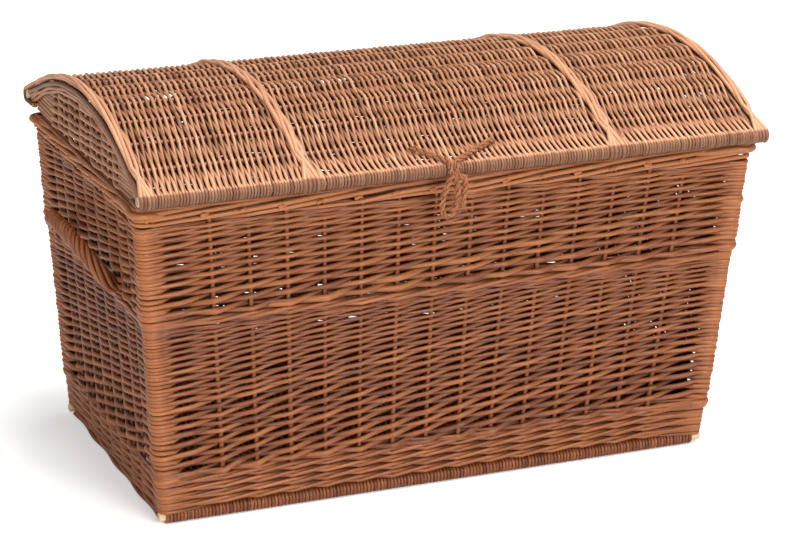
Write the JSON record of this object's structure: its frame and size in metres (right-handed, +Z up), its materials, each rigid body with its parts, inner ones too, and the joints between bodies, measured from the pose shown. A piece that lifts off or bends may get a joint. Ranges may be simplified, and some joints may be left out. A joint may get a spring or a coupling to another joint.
{
  "type": "wicker storage trunk",
  "caption": "Domed-lid woven willow trunk with leaning walls, roped end handles, a lid that opens on willow loops and a hanging rope closure.",
  "frame": {"origin": "on the floor under the middle of the base", "axes": "+X along the trunk's length, -Y out of the front wall, +Z up"},
  "size_m": [0.8628, 0.4475, 0.476],
  "materials": {
    "wall_willow": "smooth steamed willow rods, mid brown",
    "lid_willow": "smooth steamed willow rods, light brown",
    "base_willow": "worn steamed willow rods, brown",
    "peeled_willow": "cut willow stick, pale end grain",
    "rope_fibre": "two-ply twisted natural fibre rope, slightly hairy"
  },
  "bodies": {
    "trunk": {"base_weave": "base_willow", "base_stick_front": "peeled_willow", "base_stick_rear": "peeled_willow", "base_stick_inner_1": "peeled_willow", "base_stick_inner_2": "peeled_willow", "base_stick_inner_3": "peeled_willow", "base_stick_inner_4": "peeled_willow", "base_stick_inner_5": "peeled_willow", "base_stick_inner_6": "peeled_willow", "base_stick_inner_7": "peeled_willow", "corner_post_front_left": "peeled_willow", "corner_post_front_right": "peeled_willow", "corner_post_rear_left": "peeled_willow", "corner_post_rear_right": "peeled_willow", "base_wale": "wall_willow", "lower_rand": "wall_willow", "mid_wale": "wall_willow", "upper_rand": "wall_willow", "front_stakes_and_border": "wall_willow", "rear_stakes_and_border": "wall_willow", "left_stakes_and_border": "wall_willow", "right_stakes_and_border": "wall_willow", "handle_left": "wall_willow", "handle_right": "wall_willow", "hinge_loop_left": "wall_willow", "hinge_loop_middle": "wall_willow", "hinge_loop_right": "wall_willow"},
    "lid": {"lid_stick_front": "peeled_willow", "lid_stick_rear": "peeled_willow", "lid_stick_1": "lid_willow", "lid_stick_2": "lid_willow", "lid_stick_3": "lid_willow", "lid_stick_4": "lid_willow", "lid_stick_5": "lid_willow", "lid_stick_6": "lid_willow", "lid_stick_7": "lid_willow", "lid_stick_8": "lid_willow", "lid_stick_9": "lid_willow", "lid_weave_left": "lid_willow", "lid_weave_middle": "lid_willow", "lid_weave_right": "lid_willow", "lid_rib_left": "lid_willow", "lid_rib_right": "lid_willow", "lid_bow_left": "lid_willow", "lid_bow_right": "lid_willow", "lid_end_left": "wall_willow", "lid_end_right": "wall_willow", "closure_arm_left": "rope_fibre", "closure_arm_right": "rope_fibre"},
    "closure": {"closure_loop": "rope_fibre", "closure_tail": "rope_fibre"}
  },
  "joints": [
    {"name": "lid_hinge", "type": "hinge", "parent": "trunk", "child": "lid", "pos_m": [0, 0.2105, 0.407], "axis": [-1, 0, 0], "range_deg": [0, 105]},
    {"name": "closure_swing", "type": "hinge", "parent": "lid", "child": "closure", "pos_m": [-0.02, -0.223, 0.4045], "axis": [-1, 0, 0], "range_deg": [-20, 160]}
  ]
}
